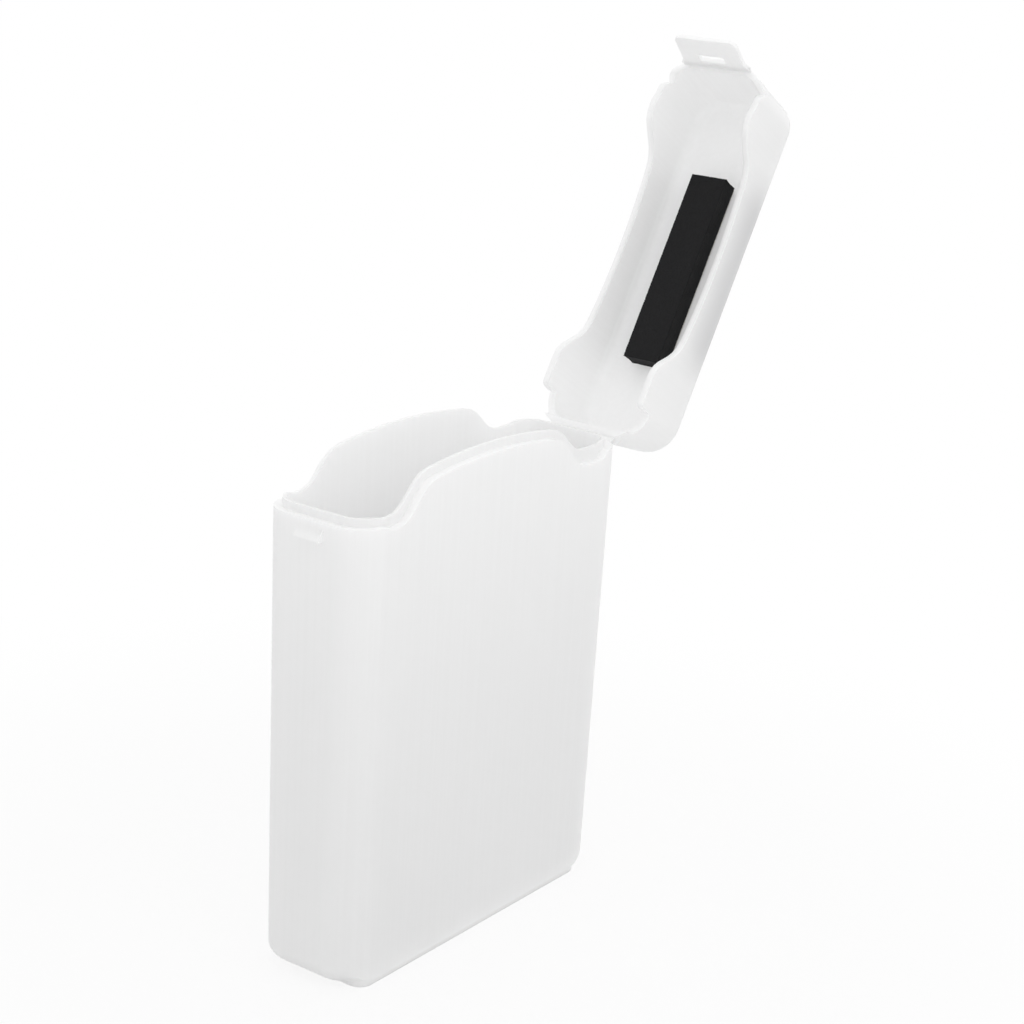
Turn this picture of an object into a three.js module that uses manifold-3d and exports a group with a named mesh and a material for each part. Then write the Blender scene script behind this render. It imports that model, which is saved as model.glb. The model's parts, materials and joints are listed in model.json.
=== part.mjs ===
// Protective case for a bare desktop hard drive: one polypropylene moulding of body, lid and latch
// flap joined by thin bending webs, with a foam pad taped inside the lid.
// Millimetres, Z up. X runs from the latch end (-X) to the hinge end (+X), Y through the thickness.
// The origin is the centre of the base. The lid is shown open.
import * as THREE from "three";
import { mergeVertices } from "three/addons/utils/BufferGeometryUtils.js";
import Module from "manifold-3d";

const wasm = await Module();
wasm.setup();

// Body
const caseWidth = 117.4;
const caseDepth = 36;
const cornerRadius = 9.5;
const rimLow = 131.9;
const endDraft = 0.8;
const sideDraft = 1.3;
const coreDraft = 0.4;
const footRadius = 5.4;
const footTurn = THREE.MathUtils.degToRad(45);
const plinthHeight = 1.65;
const plinthHalfLength = 50.8;
const plinthInset = 0.5;
const plinthCorner = 4;
const floorThickness = 2.05;

// Rim: level at both ends, a dip past each corner, an S up each side and a shallow crest
const rearStep = 1.2;
const footDip = 1.1;
const frontDipRun = 6;
const rearDipLength = 7.6;
const rearDipRun = 3.5;
const crestShift = 3;
const crestRise = 11.2;
const crestRadius = 188.5;
const crestHalf = 26.2;
const rimFoot = 42.4;
const footPull = 7.7;
const crestPull = 8.2;

// Inner lip that the lid slides over
const lipThickness = 1.1;
const lipRise = 2.3;
const lipSpread = 1.2;
const lipFrontDip = 0.7;
const lipRearRise = 0.6;

// Lid
const lidHeight = 26.9;
const lidWall = 2;
const lidFit = 0.3;
const rimGap = 0.35;
const lidEdgeRadius = 4.9;
const lidOverhang = 2.6;
const lidLean = 0.12;
const lidOpen = THREE.MathUtils.degToRad(121.2);

// Relief notches in the lid's rim at its corners
const frontReliefX = 5.9;
const frontReliefStart = 2.5;
const frontReliefRise = 3.8;
const rearReliefStart = 10.1;
const rearReliefEnd = 2.6;
const rearReliefRise = 4.8;

// Bending web of the lid and the two flanges it joins
const hingeHalfWidth = 11.6;
const flangeProud = 1.5;
const flangeHeight = 2;
const flangeSlope = 2.2;
const hingeRise = 0.3;
const hingeWebLength = 2;
const hingeWebThickness = 0.5;
const hingeOffset = 0.5;
const webGap = 0.3;

// Latch flap, its bending web and the catch on the body
const flapHalfWidth = 10.6;
const flapLength = 11.4;
const flapThickness = 1.4;
const flapCorner = 1.8;
const flapFlare = THREE.MathUtils.degToRad(14);
const flapRootFlare = 1.5;
const flapRootRun = 4;
const flapWebLength = 0.9;
const flapWebThickness = 0.6;
const slotHalfWidth = 4.6;
const slotHeight = 2.6;
const slotMargin = 7;
const slotCorner = 0.8;
const catchGap = 0.4;
const catchProud = 1.6;
const catchLand = 0.8;
const catchRamp = 2.6;

// Foam pad and its adhesive tape
const padFront = -32.3;
const padRear = 29.2;
const padHalfDepth = 6.2;
const padThickness = 6.2;
const padCorner = 0.8;
const tapeThickness = 0.5;
const tapeMargin = 0.3;
const padGap = 0.3;

// How far cutting and joining shapes run past the faces they meet
const past = 6;
const cornerSteps = 4;
const profileSteps = 8;

const quarter = Math.PI / 2;
const halfWidth = caseWidth / 2;
const halfDepth = caseDepth / 2;
const closedHeight = rimLow + lidHeight;
const farX = halfWidth + lidOverhang + past;

function solid(geometry) {
  geometry.deleteAttribute("normal");
  geometry.deleteAttribute("uv");
  const joined = mergeVertices(geometry, 1e-4);
  const mesh = new wasm.Mesh({
    numProp: 3,
    vertProperties: joined.attributes.position.array,
    triVerts: new Uint32Array(joined.index.array),
  });
  return new wasm.Manifold(mesh);
}

function node(name, body, material) {
  const data = body.getMesh();
  const geometry = new THREE.BufferGeometry();
  geometry.setAttribute("position", new THREE.BufferAttribute(new Float32Array(data.vertProperties), 3));
  geometry.setIndex(new THREE.BufferAttribute(new Uint32Array(data.triVerts), 1));
  const faceted = geometry.toNonIndexed();
  faceted.computeVertexNormals();
  const mesh = new THREE.Mesh(faceted, material);
  mesh.name = name;
  return mesh;
}

// Rounded rectangle between x = front and x = rear.
function plan(front, rear, half, radius) {
  const shape = new THREE.Shape();
  shape.absarc(rear - radius, radius - half, radius, -quarter, 0);
  shape.absarc(rear - radius, half - radius, radius, 0, quarter);
  shape.absarc(front + radius, half - radius, radius, quarter, 2 * quarter);
  shape.absarc(front + radius, radius - half, radius, 2 * quarter, 3 * quarter);
  return shape;
}

// Plan outline raised from z = low to z = high.
function upright(shape, low, high) {
  const options = { depth: high - low, bevelEnabled: false, curveSegments: cornerSteps };
  return new THREE.ExtrudeGeometry(shape, options).translate(0, 0, low);
}

// Outline in X and Z carried through the thickness, from y = -half to y = half.
function across(shape, half) {
  const options = { depth: 2 * half, bevelEnabled: false, curveSegments: profileSteps };
  return new THREE.ExtrudeGeometry(shape, options).rotateX(quarter).translate(0, half, 0);
}

// Moulding draft: nothing at the rim, the full amount on each side at z = 0.
function drafted(geometry, atEnds, atSides) {
  const position = geometry.attributes.position;
  for (let i = 0; i < position.count; i += 1) {
    const x = position.getX(i);
    const y = position.getY(i);
    const fall = 1 - position.getZ(i) / rimLow;
    position.setX(i, x - Math.sign(x) * atEnds * fall);
    position.setY(i, y - Math.sign(y) * atSides * fall);
  }
  return geometry;
}

// The three rim lines: how far each lies above the body's rim, how far its S curves are moved out,
// and how far its feet lie below its own level at the latch end.
const bodyRim = { rise: 0, spread: 0, frontDip: footDip, rearDip: footDip, relief: false };
const lipRim = {
  rise: lipRise,
  spread: lipSpread,
  frontDip: lipFrontDip,
  rearDip: -lipRearRise,
  relief: false,
};
const lidRim = { rise: rimGap, spread: 0, frontDip: footDip, rearDip: footDip, relief: true };

// A rim line from the latch end to the hinge end. The crest lies a little towards the latch, and the
// hinge end stands higher than the latch end. The lid's line has a relief notch at each corner.
function traceRim(shape, rim) {
  const level = rimLow + rim.rise;
  const rear = level + rearStep;
  const frontLow = level - rim.frontDip;
  const rearLow = level - rim.rearDip;
  const shoulder = crestHalf + rim.spread;
  const foot = rimFoot + rim.spread;
  const turn = Math.asin(shoulder / crestRadius);
  const centre = level + crestRise - crestRadius;
  const shoulderZ = centre + crestRadius * Math.cos(turn);
  const pullZ = shoulderZ - crestPull * Math.tan(turn);
  const at = (x) => x - crestShift;
  const frontFoot = at(-foot);
  const frontCorner = frontFoot - frontDipRun;
  const frontPull = frontDipRun / 2;
  const rearFoot = at(foot);
  const dipEnd = at(rimFoot) + rearDipLength;
  const rearCorner = dipEnd + rearDipRun;
  const rearPull = rearDipRun / 2;
  shape.lineTo(-farX, level);
  if (rim.relief) {
    const notchX = frontReliefX - halfWidth - lidOverhang;
    const notchStart = frontReliefStart - halfWidth - lidOverhang;
    const notchZ = level + frontReliefRise;
    shape.lineTo(notchStart, level);
    shape.quadraticCurveTo((notchStart + notchX) / 2, level, notchX, notchZ);
    shape.quadraticCurveTo((notchX + frontCorner) / 2, level, frontCorner, level);
  } else {
    shape.lineTo(frontCorner, level);
  }
  shape.bezierCurveTo(frontCorner + frontPull, level, frontFoot - frontPull, frontLow, frontFoot, frontLow);
  shape.bezierCurveTo(
    frontFoot + footPull,
    frontLow,
    at(-shoulder - crestPull),
    pullZ,
    at(-shoulder),
    shoulderZ,
  );
  shape.absarc(at(0), centre, crestRadius, quarter + turn, quarter - turn, true);
  shape.bezierCurveTo(at(shoulder + crestPull), pullZ, rearFoot - footPull, rearLow, rearFoot, rearLow);
  shape.lineTo(dipEnd, rearLow);
  if (rim.relief) {
    const notchX = halfWidth - rearReliefStart;
    const notchEnd = halfWidth - rearReliefEnd;
    const notchZ = level + rearReliefRise;
    shape.quadraticCurveTo(notchX, rearLow, notchX, notchZ);
    shape.lineTo((notchX + notchEnd) / 2, notchZ);
    shape.quadraticCurveTo(notchEnd, notchZ, notchEnd, rear);
  } else {
    shape.bezierCurveTo(dipEnd + rearPull, rearLow, rearCorner - rearPull, rear, rearCorner, rear);
  }
  shape.lineTo(farX, rear);
}

// Side profile of the body, up to the rim line.
function bodyProfile() {
  const shape = new THREE.Shape();
  shape.moveTo(-farX, plinthHeight);
  traceRim(shape, bodyRim);
  shape.lineTo(farX, plinthHeight);
  return shape;
}

// Block that rounds the body's lower end edges: it follows the two ends and their corners as far as
// footTurn, then runs clear of the long sides, so the rounding fades out there.
function footForm() {
  const footTop = plinthHeight + footRadius;
  const fall = 1 - footTop / rimLow;
  const centreX = halfWidth - endDraft * fall - cornerRadius;
  const centreY = halfDepth - sideDraft * fall - cornerRadius;
  const round = cornerRadius - footRadius;
  const peak = centreY + (round + centreX * Math.cos(footTurn)) / Math.sin(footTurn);
  const outline = new THREE.Shape();
  outline.absarc(centreX, -centreY, round, -footTurn, 0);
  outline.absarc(centreX, centreY, round, 0, footTurn);
  outline.lineTo(0, peak);
  outline.absarc(-centreX, centreY, round, Math.PI - footTurn, Math.PI);
  outline.absarc(-centreX, -centreY, round, Math.PI, Math.PI + footTurn);
  outline.lineTo(0, -peak);
  const geometry = new THREE.ExtrudeGeometry(outline, {
    depth: past,
    bevelSize: footRadius,
    bevelThickness: footRadius,
    bevelSegments: profileSteps,
    curveSegments: cornerSteps,
  });
  const upper = new THREE.BoxGeometry(2 * farX, 2 * farX, 2 * closedHeight);
  upper.translate(0, 0, footTop + closedHeight);
  return solid(geometry.translate(0, 0, footTop)).add(solid(upper));
}

function lipProfile() {
  const shape = new THREE.Shape();
  shape.moveTo(-farX, rimLow - past);
  traceRim(shape, lipRim);
  shape.lineTo(farX, rimLow - past);
  return shape;
}

function lidProfile() {
  const shape = new THREE.Shape();
  shape.moveTo(-farX, closedHeight + past);
  traceRim(shape, lidRim);
  shape.lineTo(farX, closedHeight + past);
  return shape;
}

// Lid outline inset from the outer faces, with a rounded top edge and the hinge end leaning in.
function lidForm(inset) {
  const round = lidEdgeRadius - inset;
  const front = -halfWidth - lidOverhang + lidEdgeRadius;
  const rear = halfWidth - lidEdgeRadius;
  const outline = plan(front, rear, halfDepth - lidEdgeRadius, cornerRadius - lidEdgeRadius);
  const low = rimLow - past;
  const high = closedHeight - inset - round;
  const geometry = new THREE.ExtrudeGeometry(outline, {
    depth: high - low,
    bevelSize: round,
    bevelThickness: round,
    bevelSegments: cornerSteps,
    curveSegments: cornerSteps,
  });
  geometry.translate(0, 0, low);
  const position = geometry.attributes.position;
  for (let i = 0; i < position.count; i += 1) {
    const x = position.getX(i);
    if (x > 0) {
      position.setX(i, x - lidLean * (position.getZ(i) - rimLow));
    }
  }
  return solid(geometry);
}

const shellMaterial = new THREE.MeshStandardMaterial({ color: 0xe8e9ea, roughness: 0.45, metalness: 0 });
const lidMaterial = shellMaterial.clone();
const hingeMaterial = shellMaterial.clone();
const flapMaterial = shellMaterial.clone();
const flapWebMaterial = shellMaterial.clone();
const foamMaterial = new THREE.MeshStandardMaterial({ color: 0x29292b, roughness: 0.95, metalness: 0 });
const tapeMaterial = new THREE.MeshStandardMaterial({ color: 0xc9c8c2, roughness: 0.6, metalness: 0 });

// Levels of the hinge: flange, gap, web, gap, flange, from the body up to the lid.
const flangeX = halfWidth + flangeProud;
const hingeX = flangeX + hingeOffset - hingeWebThickness / 2;
const hingeZ = rimLow + hingeRise;
const webLow = hingeZ - hingeWebLength / 2;
const bodyFlangeTop = webLow - webGap;
const lidFlangeLow = hingeZ + hingeWebLength / 2 + webGap;

// Levels of the latch: the web under the lid's front rim, then the flap with its slot.
const flapPlane = -halfWidth - lidOverhang + flapThickness / 2;
const flapPivotZ = rimLow + rimGap - webGap - flapWebLength / 2;
const flapTop = -flapWebLength / 2 - webGap;
const flapRootHalfWidth = flapHalfWidth + flapRootFlare;
const flapFoot = flapTop - flapLength;
const slotLow = flapFoot + slotMargin;
const catchLow = flapPivotZ + slotLow + catchGap;

function bodyShell() {
  const outline = plan(-halfWidth, halfWidth, halfDepth, cornerRadius);
  const outer = solid(drafted(upright(outline, 0, closedHeight), endDraft, sideDraft));
  const walls = outer.intersect(footForm()).intersect(solid(across(bodyProfile(), halfDepth + past)));

  const lipInset = lidWall + lidFit;
  const lipRear = halfWidth - lipInset - lidLean * (rearStep + lipRise + lidFit);
  const lipPlan = plan(lipInset - halfWidth, lipRear, halfDepth - lipInset, cornerRadius - lipInset);
  const lipBlock = solid(upright(lipPlan, rimLow - past, closedHeight));
  const lip = lipBlock.intersect(solid(across(lipProfile(), halfDepth)));

  const plinthHalfDepth = halfDepth - sideDraft - plinthInset;
  const plinthPlan = plan(-plinthHalfLength, plinthHalfLength, plinthHalfDepth, plinthCorner);
  const plinth = solid(upright(plinthPlan, 0, plinthHeight + floorThickness / 2));

  const wallMiddle = halfWidth - lidWall / 2 - endDraft;
  const flangeShape = new THREE.Shape();
  flangeShape.moveTo(wallMiddle, bodyFlangeTop);
  flangeShape.lineTo(wallMiddle, bodyFlangeTop - flangeHeight - flangeSlope);
  flangeShape.lineTo(flangeX, bodyFlangeTop - flangeHeight);
  flangeShape.lineTo(flangeX, bodyFlangeTop);
  const flange = solid(across(flangeShape, hingeHalfWidth));

  const frontFace = -halfWidth + endDraft * (1 - catchLow / rimLow);
  const catchShape = new THREE.Shape();
  catchShape.moveTo(-wallMiddle, catchLow);
  catchShape.lineTo(frontFace - catchProud, catchLow);
  catchShape.lineTo(frontFace - catchProud, catchLow + catchLand);
  catchShape.lineTo(frontFace, catchLow + catchLand + catchRamp);
  catchShape.lineTo(-wallMiddle, catchLow + catchLand + catchRamp);
  const catchWedge = solid(across(catchShape, slotHalfWidth - catchGap));

  const cavityPlan = plan(
    lipInset + lipThickness - halfWidth,
    lipRear - lipThickness,
    halfDepth - lipInset - lipThickness,
    cornerRadius - lipInset - lipThickness,
  );
  const core = upright(cavityPlan, plinthHeight + floorThickness, closedHeight);
  const cavity = solid(drafted(core, coreDraft, coreDraft));
  return walls.add(lip).add(plinth).add(flange).add(catchWedge).subtract(cavity);
}

// The lid is drawn closed and moved so that its hinge line is its own origin.
function lidShell() {
  const arch = solid(across(lidProfile(), halfDepth + past));
  const shell = lidForm(0).subtract(lidForm(lidWall)).intersect(arch);
  const flangeTop = lidFlangeLow + flangeHeight;
  const wallLow = halfWidth - lidWall / 2 - lidLean * (lidFlangeLow - rimLow);
  const slopeTop = flangeTop + flangeSlope;
  const wallHigh = halfWidth - lidWall / 2 - lidLean * (slopeTop - rimLow);
  const flangeShape = new THREE.Shape();
  flangeShape.moveTo(wallLow, lidFlangeLow);
  flangeShape.lineTo(flangeX, lidFlangeLow);
  flangeShape.lineTo(flangeX, flangeTop);
  flangeShape.lineTo(wallHigh, slopeTop);
  const flange = solid(across(flangeShape, hingeHalfWidth));
  return shell.add(flange).translate([-hingeX, 0, -hingeZ]);
}

// The web at rest, bent round by the opening angle between the two flanges.
function hingeWeb() {
  const radius = hingeOffset + hingeWebLength / 2 / Math.tan(lidOpen / 2);
  const centreX = hingeX - hingeOffset + radius;
  const end = Math.PI - lidOpen;
  const shape = new THREE.Shape();
  shape.absarc(centreX, webLow, radius + hingeWebThickness / 2, Math.PI, end, true);
  shape.absarc(centreX, webLow, radius - hingeWebThickness / 2, end, Math.PI, false);
  return solid(across(shape, hingeHalfWidth));
}

// Flap hanging from its own pivot: a plate with rounded lower corners, a root that widens into its
// web, and the slot for the catch.
function latchFlap() {
  const plate = new THREE.Shape();
  plate.absarc(flapCorner - flapHalfWidth, flapFoot + flapCorner, flapCorner, 2 * quarter, 3 * quarter);
  plate.absarc(flapHalfWidth - flapCorner, flapFoot + flapCorner, flapCorner, 3 * quarter, 4 * quarter);
  plate.lineTo(flapHalfWidth, flapTop - flapRootRun);
  plate.quadraticCurveTo(flapHalfWidth, flapTop - flapRootRun / 4, flapRootHalfWidth, flapTop);
  plate.lineTo(-flapRootHalfWidth, flapTop);
  plate.quadraticCurveTo(-flapHalfWidth, flapTop - flapRootRun / 4, -flapHalfWidth, flapTop - flapRootRun);
  const slotMiddle = slotLow + slotHeight / 2;
  const slot = plan(-slotHalfWidth, slotHalfWidth, slotHeight / 2, slotCorner);
  const options = { depth: flapThickness, bevelEnabled: false, curveSegments: cornerSteps };
  const slab = new THREE.ExtrudeGeometry(plate, options).translate(0, 0, -flapThickness / 2);
  const cutDepth = flapThickness + past;
  const cutOptions = { depth: cutDepth, bevelEnabled: false, curveSegments: cornerSteps };
  const cut = new THREE.ExtrudeGeometry(slot, cutOptions).translate(0, slotMiddle, -cutDepth / 2);
  const stand = (geometry) => geometry.rotateX(quarter).rotateZ(quarter);
  return solid(stand(slab)).subtract(solid(stand(cut)));
}

const hinge = new THREE.Group();
hinge.name = "lid_hinge";
hinge.position.set(hingeX, 0, hingeZ);
hinge.rotation.y = lidOpen;
hinge.add(node("lid_shell", lidShell(), lidMaterial));

const latch = new THREE.Group();
latch.name = "latch_hinge";
latch.position.set(flapPlane - hingeX, 0, flapPivotZ - hingeZ);
latch.rotation.y = flapFlare;
latch.add(node("latch_flap", latchFlap(), flapMaterial));
hinge.add(latch);

const flapWeb = node(
  "latch_web",
  solid(new THREE.BoxGeometry(flapWebThickness, 2 * flapRootHalfWidth, flapWebLength)),
  flapWebMaterial,
);
flapWeb.position.copy(latch.position);
flapWeb.rotation.y = flapFlare / 2;
hinge.add(flapWeb);

// Tape and foam hang under the lid's top panel.
const tapeTop = closedHeight - lidWall - padGap;
const padTop = tapeTop - tapeThickness - padGap;
const tapePlan = plan(padFront + tapeMargin, padRear - tapeMargin, padHalfDepth - tapeMargin, padCorner);
const padPlan = plan(padFront, padRear, padHalfDepth, padCorner);
const tape = node("pad_tape", solid(upright(tapePlan, tapeTop - tapeThickness, tapeTop)), tapeMaterial);
const pad = node("foam_pad", solid(upright(padPlan, padTop - padThickness, padTop)), foamMaterial);
tape.position.set(-hingeX, 0, -hingeZ);
pad.position.set(-hingeX, 0, -hingeZ);
hinge.add(tape);
hinge.add(pad);

const group = new THREE.Group();
group.name = "hard_drive_case";
group.add(node("body_shell", bodyShell(), shellMaterial));
group.add(node("hinge_web", hingeWeb(), hingeMaterial));
group.add(hinge);

export default group;
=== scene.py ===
# %% [markdown]
# # A frosted case for a bare hard drive
# The real case is one polypropylene moulding: a deep body, an arched lid and a small latch flap that
# bend on thin webs, with a black foam block taped inside the lid. The rigid shells come from the CAD
# frame, which already has their true shape. Blender adds what the solids leave out: the soft moulded
# edges, the webs drawn with their bend, the foam with its pores, and the milky plastic itself.

# %% Load the frame
import json
import math

import bmesh
import bpy
from mathutils import Matrix, Vector

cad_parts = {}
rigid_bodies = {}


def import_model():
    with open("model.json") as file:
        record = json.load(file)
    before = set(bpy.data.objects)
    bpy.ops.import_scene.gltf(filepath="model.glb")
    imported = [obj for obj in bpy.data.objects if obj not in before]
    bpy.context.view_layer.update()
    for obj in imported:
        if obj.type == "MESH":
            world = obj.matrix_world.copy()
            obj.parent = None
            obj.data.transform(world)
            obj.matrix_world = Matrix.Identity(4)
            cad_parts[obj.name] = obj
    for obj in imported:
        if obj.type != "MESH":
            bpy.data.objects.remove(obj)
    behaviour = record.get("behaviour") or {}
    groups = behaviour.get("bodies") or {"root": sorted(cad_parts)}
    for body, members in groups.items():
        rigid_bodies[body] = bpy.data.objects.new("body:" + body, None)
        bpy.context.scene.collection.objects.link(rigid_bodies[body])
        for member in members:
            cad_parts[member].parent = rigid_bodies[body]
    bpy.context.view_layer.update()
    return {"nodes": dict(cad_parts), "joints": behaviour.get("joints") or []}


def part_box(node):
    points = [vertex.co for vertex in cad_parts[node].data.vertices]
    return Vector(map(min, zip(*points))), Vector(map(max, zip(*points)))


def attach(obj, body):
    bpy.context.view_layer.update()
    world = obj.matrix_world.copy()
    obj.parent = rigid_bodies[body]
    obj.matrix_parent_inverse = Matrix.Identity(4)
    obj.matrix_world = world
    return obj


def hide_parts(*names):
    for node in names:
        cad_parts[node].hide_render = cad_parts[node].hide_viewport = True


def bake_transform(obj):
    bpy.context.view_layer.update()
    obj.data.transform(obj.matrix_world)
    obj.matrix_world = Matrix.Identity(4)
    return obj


for old in list(bpy.data.objects):
    bpy.data.objects.remove(old)
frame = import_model()
nodes = frame["nodes"]
joints = {joint["name"]: joint for joint in frame["joints"]}
MM = 0.001

# %% [markdown]
# ## Camera
# The viewpoint was found by laying the outline of the model over the photographed outline. It is given
# as a direction, a distance and a small roll about the line of sight. Writing the camera's three axes
# as the columns of a matrix keeps the roll exact.

# %% Set the camera
CAMERA_AZIMUTH = math.radians(-54.337)
CAMERA_ELEVATION = math.radians(17.236)
CAMERA_ROLL = math.radians(3.222)
CAMERA_DISTANCE = 659.548 * MM
CAMERA_TARGET = Vector((29.254, 0.0, 114.842)) * MM
FOCAL_PIXELS = 2296.867
IMAGE_PIXELS = 1024
SENSOR_WIDTH = 36.0

level = math.cos(CAMERA_ELEVATION)
back = Vector((
    math.sin(CAMERA_AZIMUTH) * level,
    -math.cos(CAMERA_AZIMUTH) * level,
    math.sin(CAMERA_ELEVATION),
))
flat_right = Vector((math.cos(CAMERA_AZIMUTH), math.sin(CAMERA_AZIMUTH), 0.0))
flat_up = back.cross(flat_right)
right = math.cos(CAMERA_ROLL) * flat_right + math.sin(CAMERA_ROLL) * flat_up
up = math.cos(CAMERA_ROLL) * flat_up - math.sin(CAMERA_ROLL) * flat_right

camera_data = bpy.data.cameras.new("photo_camera")
camera_data.sensor_width = SENSOR_WIDTH
camera_data.lens = FOCAL_PIXELS / IMAGE_PIXELS * SENSOR_WIDTH
camera = bpy.data.objects.new("photo_camera", camera_data)
bpy.context.scene.collection.objects.link(camera)
place = Matrix((right, up, back)).transposed().to_4x4()
place.translation = CAMERA_TARGET + back * CAMERA_DISTANCE
camera.matrix_world = place
bpy.context.scene.camera = camera
print("lens in mm:", round(camera_data.lens, 2))

# %% [markdown]
# ## Writing shader maths as plain expressions
# A node tree can be clicked together, or built call by call, but both hide the formula. Here one small
# class wraps a socket. Adding, subtracting or multiplying two of them adds the Math node that does it,
# so a finish reads like the sentence that describes it.

# %% The socket wrapper
class Wire:
    """One output socket of a node tree, usable in sums and products."""

    def __init__(self, tree, socket):
        self.tree = tree
        self.socket = socket

    def node(self, kind, settings=None, sockets=None, out=0):
        """Adds a node with its settings, then its inputs, and returns one of its outputs."""
        made = self.tree.nodes.new(kind)
        for key, value in (settings or {}).items():
            setattr(made, key, value)
        for key, value in (sockets or {}).items():
            if isinstance(value, Wire):
                self.tree.links.new(value.socket, made.inputs[key])
            else:
                made.inputs[key].default_value = value
        return Wire(self.tree, made.outputs[out])

    def math(self, operation, first, second):
        return self.node("ShaderNodeMath", {"operation": operation}, {0: first, 1: second})

    def __add__(self, other):
        return self.math("ADD", self, other)

    def __radd__(self, other):
        return self.math("ADD", other, self)

    def __sub__(self, other):
        return self.math("SUBTRACT", self, other)

    def __rsub__(self, other):
        return self.math("SUBTRACT", other, self)

    def __mul__(self, other):
        return self.math("MULTIPLY", self, other)

    def __rmul__(self, other):
        return self.math("MULTIPLY", other, self)

    def __gt__(self, other):
        return self.math("GREATER_THAN", self, other)

    def unsigned(self):
        """This value without its sign."""
        return self.math("MAXIMUM", self, -1.0 * self)

    def smooth(self, start, end):
        """0 up to the start, 1 past the end, and a soft step between. It may also run downwards."""
        return self.node(
            "ShaderNodeMapRange",
            {"interpolation_type": "SMOOTHSTEP"},
            {"Value": self, "From Min": start, "From Max": end},
        )

    def part(self, axis):
        """One of this vector's three parts."""
        return self.node("ShaderNodeSeparateXYZ", None, {0: self}, out=axis)

    def colour(self, first, second):
        """A colour between two, with this value as the share of the second."""
        ends = [c if isinstance(c, Wire) else (*c, 1.0) for c in (first, second)]
        return self.node(
            "ShaderNodeMix",
            {"data_type": "RGBA"},
            {"Factor": self, 6: ends[0], 7: ends[1]},
            out=2,
        )

    def stretched(self, scale):
        """This vector with its parts multiplied by three scales."""
        return self.node(
            "ShaderNodeVectorMath", {"operation": "MULTIPLY"}, {0: self, 1: scale}
        )

    def noise(self, scale=1.0, detail=2.0):
        """Soft random values from 0 to 1, with so many features to a unit of this vector."""
        return self.node(
            "ShaderNodeTexNoise", None, {"Vector": self, "Scale": scale, "Detail": detail}
        )

    def cells(self, scale):
        """Distance to the nearest of many scattered points, so many to a unit of this vector."""
        return self.node("ShaderNodeTexVoronoi", None, {"Vector": self, "Scale": scale})

    def bump(self, strength, depth):
        """The surface's normal, with this value as a relief of some depth."""
        return self.node(
            "ShaderNodeBump", None, {"Strength": strength, "Distance": depth, "Height": self}
        )


# %% [markdown]
# Every finish starts from the same Principled shader and reads the piece's own coordinates, so that a
# pattern stays on its piece when the piece moves. What varies over the surface is linked, and what is
# the same all over is set.

# %% Start and feed a finish
def new_finish(name):
    """A material, its Principled shader and the piece's own coordinates."""
    material = bpy.data.materials.new(name)
    material.use_nodes = True
    shader = material.node_tree.nodes["Principled BSDF"]
    start = Wire(material.node_tree, None)
    return material, shader, start.node("ShaderNodeTexCoord", out=3)


def feed(shader, wires, constants):
    """Links what varies over the surface and sets what is the same all over."""
    for key, wire in wires.items():
        wire.tree.links.new(wire.socket, shader.inputs[key])
    for key, value in constants.items():
        shader.inputs[key].default_value = value


# %% [markdown]
# ## The lid swings about one line
# The case stands open at rest, but its foam and its webs are easier to lay out square to the closed
# case. One matrix takes a point of the closed lid to its place on the open one, and its inverse
# measures a piece as if the lid were shut.

# %% Swing from closed to open
LID_OPEN = math.radians(-joints["lid_hinge"]["range_deg"][0])
FLAP_FLARE = math.radians(-joints["latch_hinge"]["range_deg"][0])
hinge = Vector(joints["lid_hinge"]["pos_m"])
swing = Matrix.Rotation(LID_OPEN, 4, "Y")
open_lid = Matrix.Translation(hinge) @ swing @ Matrix.Translation(-hinge)
shut_lid = open_lid.inverted()


def shut_box(name):
    """Corners of a node's box with the lid shut."""
    points = [shut_lid @ vertex.co for vertex in nodes[name].data.vertices]
    low = Vector([min(point[i] for point in points) for i in range(3)])
    high = Vector([max(point[i] for point in points) for i in range(3)])
    return low, high


foam_low, foam_high = shut_box("foam_pad")
foam_size = foam_high - foam_low
print("foam in mm:", [round(c / MM, 2) for c in foam_size])

# %% [markdown]
# ## Milky polypropylene
# Natural polypropylene is neither clear nor white: light enters, scatters between crystals and leaves
# on the other side. A glass shader would show clean refractions, and a white diffuse one would be
# chalk with a dark inside. Subsurface scattering with a reach longer than the wall is thick lets the
# light through both ways, so inside and outside come out almost equally pale, as they do in the photo.
# The spark-eroded mould leaves a fine grain, the flow of the melt leaves faint clouds, and drawing the
# piece out of the mould leaves faint upright streaks. The lid was drawn along its own height, so its
# streaks need the shut lid's frame.
# The flap and the webs get a shorter reach: light that scatters on to a covered end is lost, and with a
# long reach that would draw a dark line across the flap's root.

# %% Make the plastic
WALL_REACH = 8.0 * MM
FLAP_REACH = 2.0 * MM
WEB_REACH = 0.03 * MM
CLOUDS_PER_METRE = 38.0
GRAIN_PER_METRE = 3200.0
STREAKS_PER_METRE = (700.0, 700.0, 6.0)
STREAK_EDGES = (0.38, 0.66)
CLOUD_SHARE = 0.65
GRAIN_SHARE = 0.6
GRAIN_STRENGTH = 0.12
GRAIN_DEPTH = 0.08 * MM
DULL_WHITE = (0.945, 0.945, 0.945)
CLEAR_WHITE = (0.983, 0.983, 0.983)
FOAM_SHADOW = (0.62, 0.62, 0.625)
FROST_ROUGHNESS = 0.40
FROST_SPREAD = 0.14
POLYPROPYLENE_IOR = 1.49


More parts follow.
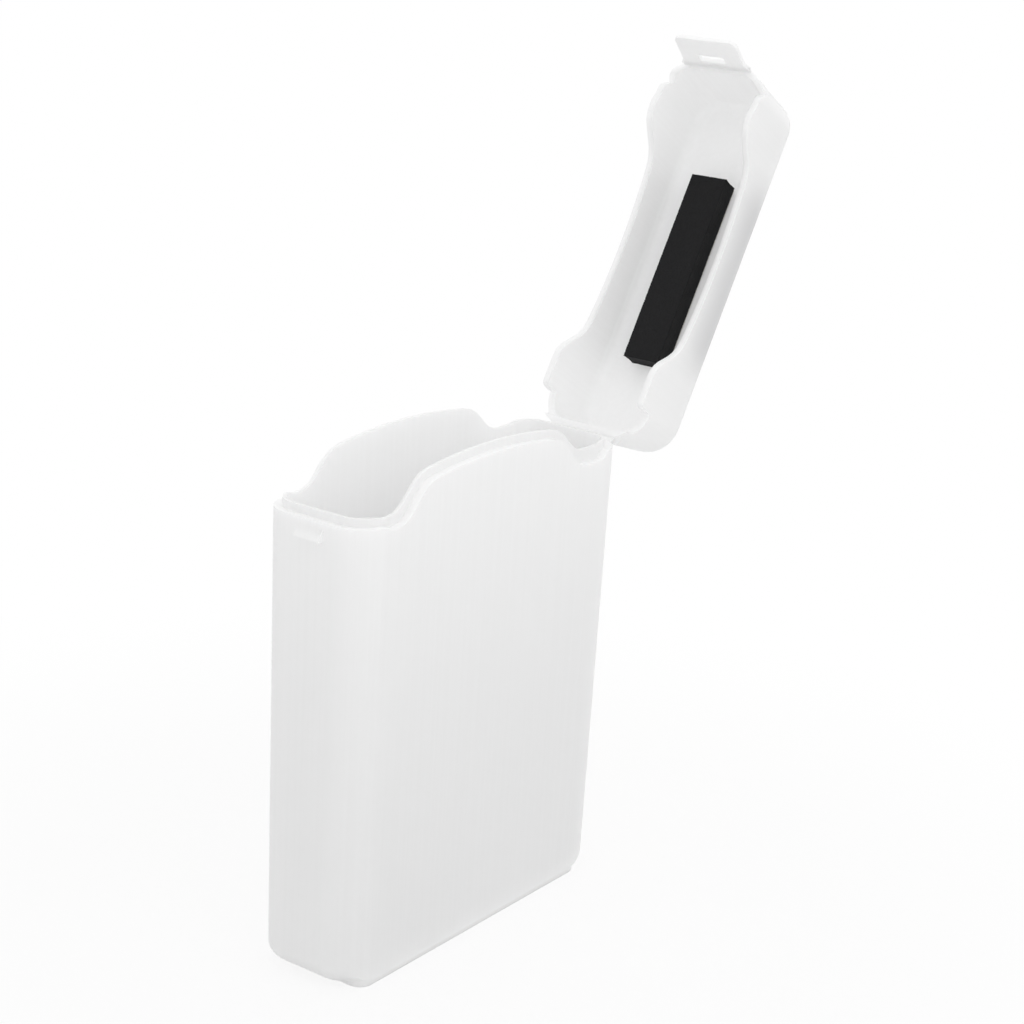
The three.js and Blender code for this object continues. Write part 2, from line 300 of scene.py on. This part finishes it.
def frosted_polypropylene(name, reach, draw_frame=None, shade=None):
    """The plastic, drawn from the mould along a frame's Z axis, with a shade to dim its colour."""
    material, shader, point = new_finish(name)
    drawn = draw_frame(point) if draw_frame else point
    clouds = point.noise(CLOUDS_PER_METRE, detail=3.0)
    streaks = drawn.stretched(STREAKS_PER_METRE).noise().smooth(*STREAK_EDGES)
    grain = point.noise(GRAIN_PER_METRE)
    tone = CLOUD_SHARE * clouds + (1.0 - CLOUD_SHARE) * streaks
    colour = tone.colour(DULL_WHITE, CLEAR_WHITE)
    if shade:
        colour = shade(drawn).colour(colour, FOAM_SHADOW)
    relief = GRAIN_SHARE * grain + (1.0 - GRAIN_SHARE) * streaks
    feed(
        shader,
        {
            "Base Color": colour,
            "Roughness": FROST_ROUGHNESS + FROST_SPREAD * tone,
            "Normal": relief.bump(GRAIN_STRENGTH, GRAIN_DEPTH),
        },
        {
            "IOR": POLYPROPYLENE_IOR,
            "Subsurface Weight": 1.0,
            "Subsurface Radius": (1.0, 1.0, 1.0),
            "Subsurface Scale": reach,
        },
    )
    return material


plastic = frosted_polypropylene("frosted_polypropylene", WALL_REACH)
flap_plastic = frosted_polypropylene("frosted_polypropylene_flap", FLAP_REACH)
web_plastic = frosted_polypropylene("frosted_polypropylene_web", WEB_REACH)
print("made", [finish.name for finish in (plastic, flap_plastic, web_plastic)])

# %% [markdown]
# In the photo the foam shows through the lid's side as a soft dark band, darkest towards the roof that
# it hangs from, and the roof is a little greyer round it. Scattering blurs the foam away completely, so
# the lid has the same plastic with a shade laid over the outer faces of its side walls and, weaker, over
# its roof. The shade is worked out in the shut lid's frame from the foam's own box, and fades beyond the
# foam's ends and towards the rim.

# %% The lid's plastic, dimmed by the foam behind it
SHADE_SOFTNESS = 10.0 * MM
SHADE_REACH = 18.0 * MM
ROOF_SHARE = 0.3
ROOF_BLUR = 1.5 * MM
OUTER_FACE = 17.5 * MM
FACE_BLUR = 0.3 * MM
ROUND_START = 152.0 * MM
ROUND_LEAN = 0.5


def shut_frame(point):
    """A place on the open lid as its place on the shut one."""
    return point.node("ShaderNodeMapping", None, {
        "Vector": point,
        "Location": shut_lid.to_translation(),
        "Rotation": (0.0, -LID_OPEN, 0.0),
    })


def foam_shade(shut):
    """From 0 to 1, how much the foam dims the lid."""
    along, across, height = (shut.part(axis) for axis in range(3))
    front = along.smooth(foam_low.x - SHADE_SOFTNESS, foam_low.x + SHADE_SOFTNESS)
    rear = along.smooth(foam_high.x + SHADE_SOFTNESS, foam_high.x - SHADE_SOFTNESS)
    lift = height.smooth(foam_low.z - SHADE_REACH, foam_high.z)
    over_round = height.math("MAXIMUM", height - ROUND_START, 0.0)
    spread = across.unsigned() + ROUND_LEAN * over_round
    outside = spread.smooth(OUTER_FACE - FACE_BLUR, OUTER_FACE + FACE_BLUR)
    roof = height.smooth(foam_high.z - ROOF_BLUR, foam_high.z)
    return front * rear * height.math("MAXIMUM", lift * outside, ROOF_SHARE * roof)


lid_plastic = frosted_polypropylene("frosted_polypropylene_lid", WALL_REACH, shut_frame, foam_shade)
print("made", lid_plastic.name)

# %% [markdown]
# ## Black foam
# The pad is cut from a sheet of open-cell polyurethane foam. It is almost black and fully matt. Its
# pores are darkened with painted shade, so only the walls between them seem to catch a little light, and
# a bump raises the walls. Two sizes of cells give the large and the small pores.

# %% Make the foam's finish
LARGE_PORES_PER_METRE = 1500.0
SMALL_PORES_PER_METRE = 3600.0
LARGE_PORE_SHARE = 0.65
PORE_EDGES = (0.12, 0.62)
PORE_STRENGTH = 0.3
PORE_DEPTH = 0.2 * MM
# Painted shade at the middle of each pore, darker than the foam's own black on the walls.
PORE_PAINTED_SHADE = (0.008, 0.008, 0.0085)
WALL_BLACK = (0.014, 0.014, 0.0148)
FOAM_ROUGHNESS = 0.86
FOAM_SPREAD = 0.1
FOAM_SHEEN = 0.25


def open_cell_foam():
    """Black foam with painted shade in its pores, and higher on the walls between them."""
    material, shader, point = new_finish("open_cell_foam")
    large = point.cells(LARGE_PORES_PER_METRE)
    small = point.cells(SMALL_PORES_PER_METRE)
    mixed = LARGE_PORE_SHARE * large + (1.0 - LARGE_PORE_SHARE) * small
    walls = mixed.smooth(*PORE_EDGES)
    feed(
        shader,
        {
            # Painted shade: the colour darkens towards the middle of each pore.
            "Base Color": walls.colour(PORE_PAINTED_SHADE, WALL_BLACK),
            "Roughness": FOAM_ROUGHNESS + FOAM_SPREAD * walls,
            "Normal": walls.bump(PORE_STRENGTH, PORE_DEPTH),
        },
        {"Specular IOR Level": FOAM_SHEEN},
    )
    return material


foam_finish = open_cell_foam()
print("made", foam_finish.name)

# %% [markdown]
# ## Double-sided tape
# Only the edge of the tape shows, as a thin pale line between foam and lid. Its paper carrier is a
# little fibrous, so a stretched noise is enough.

# %% Make the tape's finish
FIBRES_PER_METRE = (300.0, 2600.0, 2600.0)
DARK_PAPER = (0.50, 0.49, 0.46)
PALE_PAPER = (0.66, 0.65, 0.61)
PAPER_ROUGHNESS = 0.6
PAPER_SPREAD = 0.2


def paper_tape():
    """Tape with a fibrous paper carrier."""
    material, shader, point = new_finish("paper_tape")
    fibres = point.stretched(FIBRES_PER_METRE).noise(detail=3.0)
    colour = fibres.colour(DARK_PAPER, PALE_PAPER)
    feed(shader, {"Base Color": colour, "Roughness": PAPER_ROUGHNESS + PAPER_SPREAD * fibres}, {})
    return material


tape_finish = paper_tape()
print("made", tape_finish.name)

# %% [markdown]
# ## Soft edges on the moulded shells
# A moulding has no sharp edge: every corner of the mould is rounded by a few tenths of a millimetre,
# and those narrow rounds carry the bright lines along the rims. The CAD solids stay as they are, and
# modifiers on them merge the loose triangles, round the sharp edges, close the slivers that rounding
# can leave, and smooth the gentle edges. The smoothing is a small Geometry Nodes tree, because one tree
# then serves all the shells and its angle is an input.

# %% Shade gentle edges smooth
SHOWN_ROUND = math.radians(50)


def smoothing_tree():
    """Geometry nodes that shade a mesh smooth, apart from edges sharper than an angle."""
    tree = bpy.data.node_groups.new("smooth_by_angle", "GeometryNodeTree")
    tree.interface.new_socket("Mesh", in_out="INPUT", socket_type="NodeSocketGeometry")
    tree.interface.new_socket("Sharp angle", in_out="INPUT", socket_type="NodeSocketFloat")
    tree.interface.new_socket("Mesh", in_out="OUTPUT", socket_type="NodeSocketGeometry")
    entry = tree.nodes.new("NodeGroupInput")
    mesh, angle = (Wire(tree, entry.outputs[i]) for i in range(2))
    bend = mesh.node("GeometryNodeInputMeshEdgeAngle")
    smooth = mesh.node(
        "GeometryNodeSetMeshNormal",
        {"mode": "SHARPNESS"},
        {"Mesh": mesh, "Remove Custom": True, "Edge Sharpness": bend > angle,
         "Face Sharpness": False},
    )
    tree.links.new(smooth.socket, tree.nodes.new("NodeGroupOutput").inputs[0])
    return tree


smooth_by_angle = smoothing_tree()
angle_input = smooth_by_angle.interface.items_tree["Sharp angle"].identifier
print("made", smooth_by_angle.name)

# %% [markdown]
# Rounding needs whole faces and not loose triangles, so two modifiers join and merge them first. The
# bevel then works only on edges that are clearly sharp, which leaves the CAD's own curves alone.

# %% Round the edges of the CAD shells
EDGE_ROUND = 0.28 * MM
ROUND_SEGMENTS = 3
WELD_GAP = 0.002 * MM
FLAT_ANGLE = math.radians(0.4)
SHARP_ANGLE = math.radians(32)


def soften(piece):
    """Rounds a shell's sharp edges and shades its gentle ones smooth."""
    piece.modifiers.new("join_triangles", "WELD").merge_threshold = WELD_GAP
    flat = piece.modifiers.new("merge_flats", "DECIMATE")
    flat.decimate_type = "DISSOLVE"
    flat.angle_limit = FLAT_ANGLE
    bevel = piece.modifiers.new("mould_round", "BEVEL")
    bevel.width = EDGE_ROUND
    bevel.segments = ROUND_SEGMENTS
    bevel.limit_method = "ANGLE"
    bevel.angle_limit = SHARP_ANGLE
    bevel.miter_outer = "MITER_ARC"
    piece.modifiers.new("close_slivers", "WELD").merge_threshold = WELD_GAP
    shade = piece.modifiers.new("smooth_by_angle", "NODES")
    shade.node_group = smooth_by_angle
    shade[angle_input] = SHOWN_ROUND
    piece.modifiers.new("weighted_normals", "WEIGHTED_NORMAL").keep_sharp = True


def dress(name, material):
    """A CAD node, with this material in place of any other."""
    piece = nodes[name]
    piece.data.materials.clear()
    piece.data.materials.append(material)
    return piece


shells = {"body_shell": plastic, "lid_shell": lid_plastic, "latch_flap": flap_plastic}
for name, finish in shells.items():
    soften(dress(name, finish))
dress("pad_tape", tape_finish)
graph = bpy.context.evaluated_depsgraph_get()
for name in shells:
    print(name, len(nodes[name].evaluated_get(graph).data.polygons), "faces")

# %% [markdown]
# ## The foam block
# The block is sliced from a foam sheet. The two faces are skinned by the slicing, and the cut sides
# draw in a little at half thickness. Pores pit all of it. A plain cube with a bumpy finish would keep
# a ruler-straight outline, so Geometry Nodes build a fine grid and press both effects into it, always
# inwards, so the block never leaves the space the CAD solid takes.

# %% The foam's node tree
FOAM_GRID = 0.36 * MM
PIT_EDGES = (0.55, 0.1)
LUMPS_PER_METRE = 900.0
LUMP_SHARE = 0.4


def foam_tree():
    """Geometry nodes that make a block of foam from its sizes."""
    tree = bpy.data.node_groups.new("cut_foam", "GeometryNodeTree")
    names = ("Length", "Width", "Thickness", "Waist", "Pore depth", "Pores per metre")
    for name in names:
        tree.interface.new_socket(name, in_out="INPUT", socket_type="NodeSocketFloat")
    tree.interface.new_socket("Finish", in_out="INPUT", socket_type="NodeSocketMaterial")
    tree.interface.new_socket("Mesh", in_out="OUTPUT", socket_type="NodeSocketGeometry")
    entry = tree.nodes.new("NodeGroupInput")
    length, width, thick, waist, depth, per_metre, finish = (
        Wire(tree, entry.outputs[i]) for i in range(len(names) + 1)
    )
    size = length.node("ShaderNodeCombineXYZ", None, {"X": length, "Y": width, "Z": thick})
    grid = length.node("GeometryNodeMeshCube", None, {
        "Size": size,
        "Vertices X": length * (1 / FOAM_GRID),
        "Vertices Y": width * (1 / FOAM_GRID),
        "Vertices Z": thick * (1 / FOAM_GRID),
    })
    place = length.node("GeometryNodeInputPosition")
    outward = length.node("GeometryNodeInputNormal")
    height = place.part(2)
    level = height.math("DIVIDE", 2.0 * height, thick)
    pits = place.cells(per_metre).smooth(*PIT_EDGES) + LUMP_SHARE * place.noise(LUMPS_PER_METRE)
    inset = waist * (1.0 - level * level) + depth * pits
    push = outward.node(
        "ShaderNodeVectorMath", {"operation": "SCALE"}, {0: outward, "Scale": -1.0 * inset}
    )
    pressed = grid.node("GeometryNodeSetPosition", None, {"Geometry": grid, "Offset": push})
    shaded = pressed.node("GeometryNodeSetShadeSmooth", None, {0: pressed})
    whole = shaded.node("GeometryNodeRealizeInstances", None, {"Geometry": shaded})
    coated = whole.node("GeometryNodeSetMaterial", None, {"Geometry": whole, "Material": finish})
    tree.links.new(coated.socket, tree.nodes.new("NodeGroupOutput").inputs[0])
    return tree


# %% [markdown]
# The tree runs once, on an object that is thrown away again. What stays is a plain mesh, laid out for
# the shut case and then swung open with the lid.

# %% Build the foam block
FOAM_WAIST = 0.18 * MM
PIT_DEPTH = 0.1 * MM
PITS_PER_METRE = 1400.0


def built_by(tree, name, values):
    """The plain mesh object a node tree makes from named values."""
    maker = bpy.data.objects.new(name + "_maker", bpy.data.meshes.new(name + "_maker"))
    bpy.context.scene.collection.objects.link(maker)
    steps = maker.modifiers.new("build", "NODES")
    steps.node_group = tree
    for key, value in values.items():
        steps[tree.interface.items_tree[key].identifier] = value
    graph = bpy.context.evaluated_depsgraph_get()
    mesh = bpy.data.meshes.new_from_object(maker.evaluated_get(graph), depsgraph=graph)
    bpy.data.objects.remove(maker)
    piece = bpy.data.objects.new(name, mesh)
    bpy.context.scene.collection.objects.link(piece)
    return piece


foam = built_by(foam_tree(), "foam_block", {
    "Length": foam_size.x,
    "Width": foam_size.y,
    "Thickness": foam_size.z,
    "Waist": FOAM_WAIST,
    "Pore depth": PIT_DEPTH,
    "Pores per metre": PITS_PER_METRE,
    "Finish": foam_finish,
})
foam.data.transform(open_lid @ Matrix.Translation((foam_low + foam_high) / 2))
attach(foam, "lid")
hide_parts("foam_pad")
print("foam block:", len(foam.data.polygons), "faces")

# %% [markdown]
# ## The two living hinges
# Lid and flap bend on thin strips of the same plastic. A strip is drawn as stations along its middle
# line, each with a half thickness to either side, and swept across the case.

# %% A strip swept across the case
def strip(name, stations, half_width):
    """A closed strip. Each station is a middle, a direction and a half thickness to either side."""
    mesh = bmesh.new()
    rings = []
    for middle, across, one, other in stations:
        near, far = middle + across * one, middle - across * other
        corners = ((near, -1), (near, 1), (far, 1), (far, -1))
        rings.append([mesh.verts.new((edge.x, side * half_width, edge.y)) for edge, side in corners])
    for ring, following in zip(rings, rings[1:]):
        for k in range(4):
            mesh.faces.new((ring[k], ring[(k + 1) % 4], following[(k + 1) % 4], following[k]))
    mesh.faces.new(rings[0])
    mesh.faces.new(rings[-1])
    bmesh.ops.recalc_face_normals(mesh, faces=mesh.faces)
    data = bpy.data.meshes.new(name)
    mesh.to_mesh(data)
    mesh.free()
    data.materials.append(web_plastic)
    data.shade_smooth()
    data.set_sharp_from_angle(angle=SHOWN_ROUND)
    piece = bpy.data.objects.new(name, data)
    bpy.context.scene.collection.objects.link(piece)
    return piece


# %% [markdown]
# Both strips follow the same kind of line: straight inside the first piece, a round bend across the
# gap, and straight inside the second piece. Only the bend changes with the joint.

# %% The line a strip follows
ARC_STEPS = 24
ROOT_STEPS = 2


def bent_path(start, heading, turn, length, root):
    """Points and directions along a straight root, an arc and a straight root, seen from the side."""
    bend = turn / length
    path = []
    for i in range(-ROOT_STEPS, ARC_STEPS + ROOT_STEPS + 1):
        along = length * min(max(i / ARC_STEPS, 0), 1)
        angle = heading + bend * along
        forward = Vector((math.sin(angle), math.cos(angle)))
        centre = start + Vector((
            (math.cos(heading) - math.cos(angle)) / bend,
            (math.sin(angle) - math.sin(heading)) / bend,
        ))
        past = root / ROOT_STEPS * (min(i, 0) + max(i - ARC_STEPS, 0))
        path.append((along + past, centre + forward * past, forward))
    return path


# %% [markdown]
# The lid's hinge is half a millimetre thick where it bends and swells into both flanges on the side
# that faces up, as a moulded web does so that it bends in the middle and not at its roots.

# %% Lid hinge
WEB_HALF = 0.25 * MM
WEB_SWELL = 0.8 * MM
WEB_OFFSET = 0.5 * MM
WEB_LENGTH = 2.0 * MM
WEB_ROOT = 0.45 * MM

arc_radius = WEB_OFFSET + WEB_LENGTH / 2 / math.tan(LID_OPEN / 2)
arc_length = arc_radius * LID_OPEN
web_start = Vector((hinge.x - WEB_OFFSET, hinge.z - WEB_LENGTH / 2))
web_path = bent_path(web_start, 0.0, LID_OPEN, arc_length, WEB_ROOT)
stations = []
for along, middle, forward in web_path:
    upper = Vector((-forward.y, forward.x))
    off_middle = min(abs(2 * along / arc_length - 1), 1)
    stations.append((middle, upper, WEB_HALF + WEB_SWELL * off_middle ** 2, WEB_HALF))
hinge_strip = strip("hinge_strip", stations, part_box("hinge_web")[1][1])
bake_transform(hinge_strip)
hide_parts("hinge_web")
print("hinge strip bends over", round(arc_length / MM, 2), "mm")

# %% [markdown]
# The flap's root shows fine parallel lines where the mould scores it, so the strip's thickness runs in
# small waves along its bend. It is far thinner than the flap: a thick strip would cover the flap's end
# face, and the flap would lose its scattered light there. It is a little narrower than the flap's end.

# %% Flap hinge
SCORE_HALF = 0.25 * MM
SCORE_RIDGE = 0.08 * MM
SCORE_PITCH = 0.45 * MM
BEND_LENGTH = 0.9 * MM
BEND_ROOT = 0.4 * MM
SIDE_INSET = 0.3 * MM

pivot = shut_lid @ Vector(joints["latch_hinge"]["pos_m"])
flap_start = Vector((pivot.x, pivot.z + BEND_LENGTH / 2))
flap_path = bent_path(flap_start, math.pi, FLAP_FLARE, BEND_LENGTH, BEND_ROOT)
stations = []
for along, middle, forward in flap_path:
    bent = min(max(along, 0.0), BEND_LENGTH)
    half = SCORE_HALF + SCORE_RIDGE * math.cos(math.pi * bent / SCORE_PITCH) ** 2
    stations.append((middle, Vector((-forward.y, forward.x)), half, half))
flap_strip = strip("flap_strip", stations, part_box("latch_web")[1][1] - SIDE_INSET)
flap_strip.data.transform(open_lid)
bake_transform(flap_strip)
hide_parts("latch_web")
print("flap strip bends over", BEND_LENGTH / MM, "mm")

# %% [markdown]
# ## White ground
# The photograph has a plain white ground. A lit floor would have to be overexposed to look so white, and
# the case with it. So the floor glows white to the camera and in reflections, a little less close to the
# case, and to all other light it is a plain matt floor.
#
# A milky case also lets light down to the ground it stands on. Lamp rays stop at a scattering wall, so
# the hidden patch of floor under the plinth glows instead, and keeps the plinth's edge from going black.

# %% Lay the floor
FLOOR_SIZE = 12.0
FLOOR_GREY = (0.88, 0.88, 0.88)
FLOOR_WHITE = (0.9, 0.9, 0.9)
FLOOR_CLOUDS_PER_METRE = 6.0
FLOOR_ROUGHNESS = 0.9
SHADOW_SHARE = 0.2
SHADOW_FADE = (0.1, 0.28)
UNDER_GLOW = 0.3
FOOT_HEIGHT = 0.1 * MM
FOOT_BLUR = 0.3 * MM


def seen_directly(wire):
    """1 for camera and glossy rays, 0 for all others."""
    path = wire.tree.nodes.new("ShaderNodeLightPath")
    camera_ray, glossy_ray = (
        Wire(wire.tree, path.outputs[name]) for name in ("Is Camera Ray", "Is Glossy Ray")
    )
    return camera_ray.math("MAXIMUM", camera_ray, glossy_ray)


def under_plinth(point):
    """1 on the floor that the plinth covers, 0 elsewhere."""
    feet = [v.co for v in nodes["body_shell"].data.vertices if v.co.z < FOOT_HEIGHT]
    covered = 1.0
    for axis in range(2):
        half = max(abs(foot[axis]) for foot in feet)
        away = point.part(axis).unsigned()
        covered = away.smooth(half + FOOT_BLUR, half - FOOT_BLUR) * covered
    return covered


def make_floor():
    """A matt floor that glows white where it is seen."""
    bpy.ops.mesh.primitive_plane_add(size=FLOOR_SIZE)
    floor = bpy.context.object
    floor.name = "floor"
    material, shader, point = new_finish("white_floor")
    tree = material.node_tree
    colour = point.noise(FLOOR_CLOUDS_PER_METRE).colour(FLOOR_GREY, FLOOR_WHITE)
    feed(shader, {"Base Color": colour}, {"Roughness": FLOOR_ROUGHNESS})
    glow = point.node("ShaderNodeEmission", None, {"Color": (1, 1, 1, 1), "Strength": 1.0})
    away = point.node("ShaderNodeVectorMath", {"operation": "LENGTH"}, {0: point}, out=1)
    white = (1.0 - SHADOW_SHARE) + SHADOW_SHARE * away.smooth(*SHADOW_FADE)
    seen = seen_directly(point) * white
    share = seen.math("MAXIMUM", seen, UNDER_GLOW * under_plinth(point))
    mixed = point.node(
        "ShaderNodeMixShader", None,
        {"Fac": share, 1: Wire(tree, shader.outputs[0]), 2: glow},
    )
    tree.links.new(mixed.socket, tree.nodes["Material Output"].inputs["Surface"])
    floor.data.materials.append(material)
    return floor


floor = make_floor()
print("made", floor.name)

# %% [markdown]
# ## White studio
# The world is the white backdrop and most of the light. It lights the case at a slightly lower level
# than it shows, which keeps the pale plastic a little darker than the backdrop.

# %% Light the world
SKY_LIGHT = 0.91


def make_world():
    """A world that is white where it is seen and a little weaker as a light."""
    world = bpy.data.worlds.new("white_studio")
    bpy.context.scene.world = world
    world.use_nodes = True
    tree = world.node_tree
    strength = SKY_LIGHT + (1.0 - SKY_LIGHT) * seen_directly(Wire(tree, None))
    sky = tree.nodes["Background"]
    sky.inputs["Color"].default_value = (1, 1, 1, 1)
    tree.links.new(strength.socket, sky.inputs["Strength"])
    return world


world = make_world()
print("made", world.name)

# %% [markdown]
# ## Lamps
# Two large soft lamps, one towards the near side and one above, set the faces a little apart. Light
# crosses several milky walls before it leaves the case again, and each crossing counts as a bounce, so
# more bounces are allowed than an opaque object needs. With few of them the inside would go grey.

# %% Hang the lamps
LAMP_DISTANCE = 1.1
LIGHT_BOUNCES = 16


def soft_lamp(name, direction, size, watts):
    """A square lamp in some direction from the case, turned towards it."""
    data = bpy.data.lights.new(name, "AREA")
    data.size = size
    data.energy = watts
    lamp = bpy.data.objects.new(name, data)
    bpy.context.scene.collection.objects.link(lamp)
    away = Vector(direction).normalized()
    lamp.location = CAMERA_TARGET + away * LAMP_DISTANCE
    lamp.rotation_mode = "QUATERNION"
    lamp.rotation_quaternion = (-away).to_track_quat("-Z", "Y")


soft_lamp("key_lamp", direction=(-0.25, -1.0, 0.9), size=0.9, watts=1.0)
soft_lamp("top_lamp", direction=(0.3, 0.2, 1.0), size=1.0, watts=0.8)
bpy.context.scene.view_settings.view_transform = "Standard"
bpy.context.scene.cycles.max_bounces = LIGHT_BOUNCES
bpy.context.scene.cycles.diffuse_bounces = LIGHT_BOUNCES
